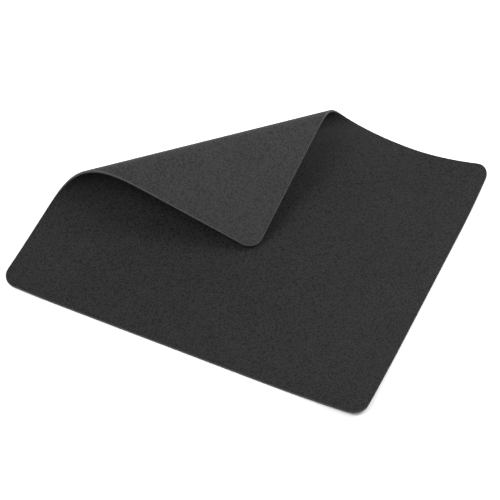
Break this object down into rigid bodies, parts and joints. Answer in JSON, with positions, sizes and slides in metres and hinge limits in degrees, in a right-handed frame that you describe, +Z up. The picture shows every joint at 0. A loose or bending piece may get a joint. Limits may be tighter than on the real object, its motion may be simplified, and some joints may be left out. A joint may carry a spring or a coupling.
{
  "type": "seedling heat mat",
  "caption": "Thin black rubber heat mat for seed trays, with a film heater sealed inside and one corner folded over.",
  "frame": {"origin": "centre of the mat's footprint, on the surface that it lies on", "axes": "+X along the long sides, +Y along the short sides towards the folded side, +Z up through the mat"},
  "size_m": [0.2797, 0.2503, 0.0439],
  "materials": {
    "top_cover": "fine-grained matt black rubber",
    "bottom_cover": "coarser matt black non-slip rubber",
    "foam": "closed-cell foam",
    "film": "clear polyester film",
    "carbon": "printed carbon ink",
    "copper": "bare copper foil",
    "contact": "turned brass"
  },
  "bodies": {
    "mat": {"bottom_cover": "bottom_cover", "far_busbar": "copper", "far_contact": "contact", "foam_core": "foam", "heating_stripes": "carbon", "lower_film": "film", "near_busbar": "copper", "near_contact": "contact", "top_cover": "top_cover", "upper_film": "film"},
    "bend_1": {"bottom_cover_bend_1": "bottom_cover", "far_busbar_bend_1": "copper", "foam_core_bend_1": "foam", "heating_stripes_bend_1": "carbon", "lower_film_bend_1": "film", "near_busbar_bend_1": "copper", "top_cover_bend_1": "top_cover", "upper_film_bend_1": "film"},
    "bend_2": {"bottom_cover_bend_2": "bottom_cover", "far_busbar_bend_2": "copper", "foam_core_bend_2": "foam", "heating_stripes_bend_2": "carbon", "lower_film_bend_2": "film", "top_cover_bend_2": "top_cover", "upper_film_bend_2": "film"},
    "bend_3": {"bottom_cover_bend_3": "bottom_cover", "far_busbar_bend_3": "copper", "foam_core_bend_3": "foam", "heating_stripes_bend_3": "carbon", "lower_film_bend_3": "film", "top_cover_bend_3": "top_cover", "upper_film_bend_3": "film"},
    "bend_4": {"bottom_cover_bend_4": "bottom_cover", "far_busbar_bend_4": "copper", "foam_core_bend_4": "foam", "heating_stripes_bend_4": "carbon", "lower_film_bend_4": "film", "top_cover_bend_4": "top_cover", "upper_film_bend_4": "film"},
    "bend_5": {"bottom_cover_bend_5": "bottom_cover", "far_busbar_bend_5": "copper", "foam_core_bend_5": "foam", "heating_stripes_bend_5": "carbon", "lower_film_bend_5": "film", "top_cover_bend_5": "top_cover", "upper_film_bend_5": "film"},
    "bend_6": {"bottom_cover_bend_6": "bottom_cover", "far_busbar_bend_6": "copper", "foam_core_bend_6": "foam", "heating_stripes_bend_6": "carbon", "lower_film_bend_6": "film", "top_cover_bend_6": "top_cover", "upper_film_bend_6": "film"},
    "corner": {"bottom_cover_corner": "bottom_cover", "far_busbar_corner": "copper", "foam_core_corner": "foam", "heating_stripes_corner": "carbon", "lower_film_corner": "film", "top_cover_corner": "top_cover", "upper_film_corner": "film"}
  },
  "joints": [
    {"name": "fold_1", "type": "hinge", "parent": "mat", "child": "bend_1", "pos_m": [-0.03305, -0.01111, 0], "axis": [-0.6179, -0.7863, 0], "range_deg": [0, 10.22]},
    {"name": "fold_2", "type": "hinge", "parent": "bend_1", "child": "bend_2", "pos_m": [-0.04801, 0.0188, 0.00545], "axis": [-0.6537, -0.7567, 0.0084], "range_deg": [0, 18.32]},
    {"name": "fold_3", "type": "hinge", "parent": "bend_2", "child": "bend_3", "pos_m": [-0.0558, 0.03343, 0.01381], "axis": [-0.6714, -0.7407, 0.0214], "range_deg": [0, 34.32]},
    {"name": "fold_4", "type": "hinge", "parent": "bend_3", "child": "bend_4", "pos_m": [-0.05747, 0.03921, 0.02371], "axis": [-0.677, -0.735, 0.0369], "range_deg": [0, 42.6]},
    {"name": "corner_fold", "type": "hinge", "parent": "bend_4", "child": "bend_5", "pos_m": [-0.05385, 0.03923, 0.03325], "axis": [-0.6735, -0.7373, 0.0519], "range_deg": [0, 43.69]},
    {"name": "fold_6", "type": "hinge", "parent": "bend_5", "child": "bend_6", "pos_m": [-0.04589, 0.03466, 0.03851], "axis": [-0.6628, -0.7464, 0.0602], "range_deg": [0, 38.17]},
    {"name": "fold_7", "type": "hinge", "parent": "bend_6", "child": "corner", "pos_m": [-0.03549, 0.02721, 0.03679], "axis": [-0.6479, -0.7596, 0.0576], "range_deg": [0, 19.19]}
  ],
  "couplings": [
    {"joint": "fold_1", "follows": "corner_fold", "ratio": 0.2339},
    {"joint": "fold_2", "follows": "corner_fold", "ratio": 0.41944},
    {"joint": "fold_3", "follows": "corner_fold", "ratio": 0.78557},
    {"joint": "fold_4", "follows": "corner_fold", "ratio": 0.97505},
    {"joint": "fold_6", "follows": "corner_fold", "ratio": 0.87367},
    {"joint": "fold_7", "follows": "corner_fold", "ratio": 0.4393}
  ]
}
